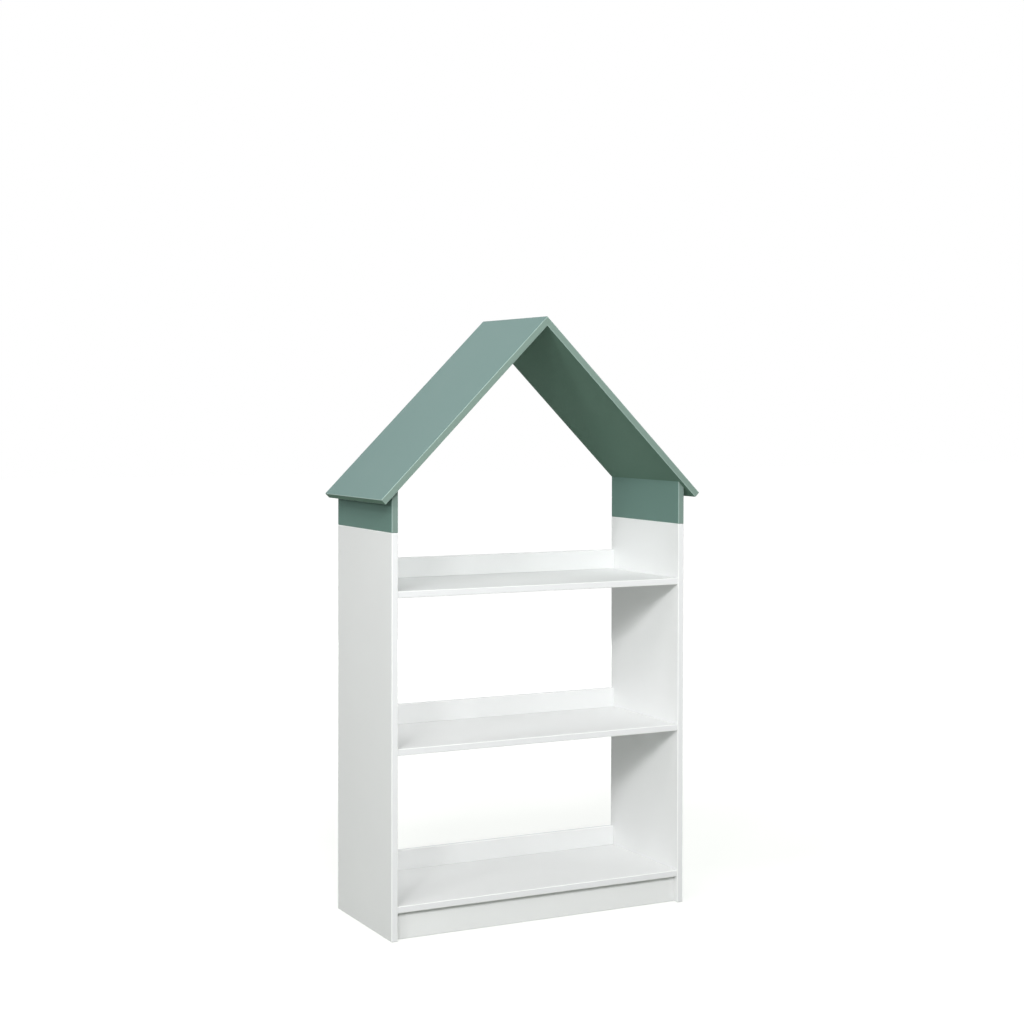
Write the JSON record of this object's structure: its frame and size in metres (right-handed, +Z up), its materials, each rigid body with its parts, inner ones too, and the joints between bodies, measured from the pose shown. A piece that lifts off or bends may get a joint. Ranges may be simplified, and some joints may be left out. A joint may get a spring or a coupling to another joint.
{
  "type": "house shaped bookcase",
  "caption": "House shaped child's bookcase: open-backed carcass with fixed shelves, low back rails and a plinth, under a gable roof that overhangs at the front and eaves.",
  "frame": {"origin": "on the floor, under the middle of the roof: the bottom centre of the bounding box", "axes": "+Z up, +X to the right seen from the front, +Y towards the wall behind; the open front faces -Y"},
  "size_m": [0.9764, 0.4, 1.6555],
  "materials": {
    "white_paint": "smooth satin paint on fibreboard",
    "green_paint": "smooth satin paint on fibreboard",
    "zinc": "bright zinc plate",
    "beech": "bare beech",
    "bracket_steel": "bright zinc plate"
  },
  "bodies": {
    "root": {"left_side_panel": "white_paint", "right_side_panel": "white_paint", "bottom_shelf": "white_paint", "middle_shelf": "white_paint", "top_shelf": "white_paint", "bottom_back_rail": "white_paint", "middle_back_rail": "white_paint", "top_back_rail": "white_paint", "plinth_board": "white_paint", "left_upper_side": "green_paint", "right_upper_side": "green_paint", "left_roof_board": "green_paint", "right_roof_board": "green_paint", "shelf_cam_locks": "zinc", "rail_cam_locks": "zinc", "plinth_cam_locks": "zinc", "shelf_cam_bolts": "zinc", "rail_cam_bolts": "zinc", "plinth_cam_bolts": "zinc", "shelf_end_dowels": "beech", "rail_end_dowels": "beech", "plinth_end_dowels": "beech", "shelf_to_rail_dowels": "beech", "plinth_to_shelf_dowels": "beech", "upper_side_dowels": "beech", "roof_dowels": "beech", "ridge_biscuits": "beech", "left_wall_bracket": "bracket_steel", "right_wall_bracket": "bracket_steel", "bracket_screws": "bracket_steel"}
  },
  "joints": []
}
